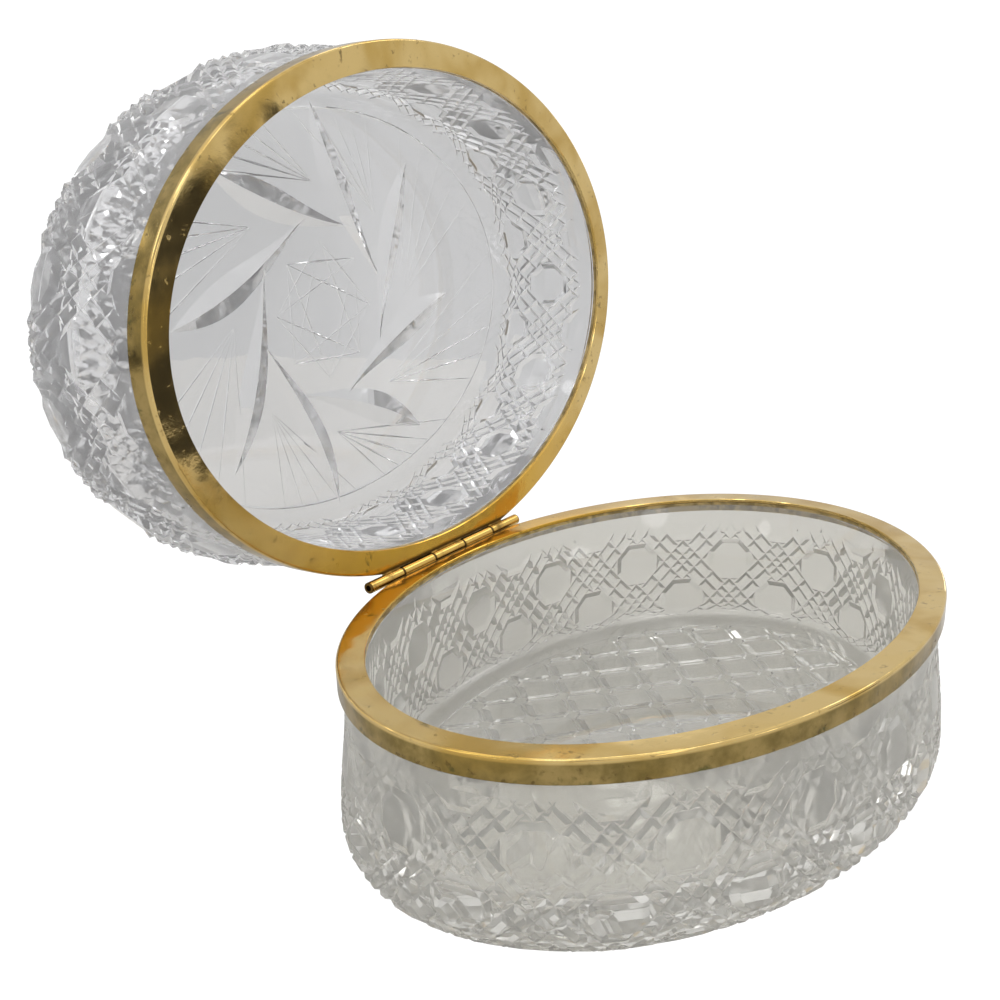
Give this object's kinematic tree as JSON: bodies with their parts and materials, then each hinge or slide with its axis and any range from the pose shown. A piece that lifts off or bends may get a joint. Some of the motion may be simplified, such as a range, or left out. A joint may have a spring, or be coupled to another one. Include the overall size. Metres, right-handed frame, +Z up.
{
  "type": "glass casket box",
  "caption": "Oval cut-glass box with a matching glass lid, brass rim mounts and a tube hinge at the back, standing open.",
  "frame": {"origin": "centre of the flat face under the bowl, which the box stands on", "axes": "+X along the hinge and the oval's long axis, +Y to the back where the hinge is, +Z up"},
  "size_m": [0.1522, 0.1431, 0.1437],
  "materials": {
    "base_glass": "clear glass with cut facets outside and a smooth polished inside",
    "lid_glass": "clear glass with cut facets on its wall and a cut pinwheel in its flat top",
    "cement": "dull set plaster cement, seen only through the glass",
    "mount_brass": "lacquered gilt brass, worn, with brown spots and dull patches",
    "hinge_brass": "polished drawn brass tube, darkened in its grooves",
    "solder": "run of hard solder, slightly rough",
    "pin_wire": "dark hard-drawn wire"
  },
  "bodies": {
    "base": {"base_glass": "base_glass", "base_cement": "cement", "base_mount": "mount_brass", "base_knuckle_left": "hinge_brass", "base_knuckle_right": "hinge_brass", "base_solder": "solder"},
    "lid": {"lid_glass": "lid_glass", "lid_cement": "cement", "lid_mount": "mount_brass", "lid_knuckle_left": "hinge_brass", "lid_knuckle_middle": "hinge_brass", "lid_knuckle_right": "hinge_brass", "lid_solder": "solder", "hinge_pin": "pin_wire"}
  },
  "joints": [
    {"name": "lid_hinge", "type": "hinge", "parent": "base", "child": "lid", "pos_m": [0, 0.0525, 0.0376], "axis": [1, 0, 0], "range_deg": [0, 92]}
  ]
}
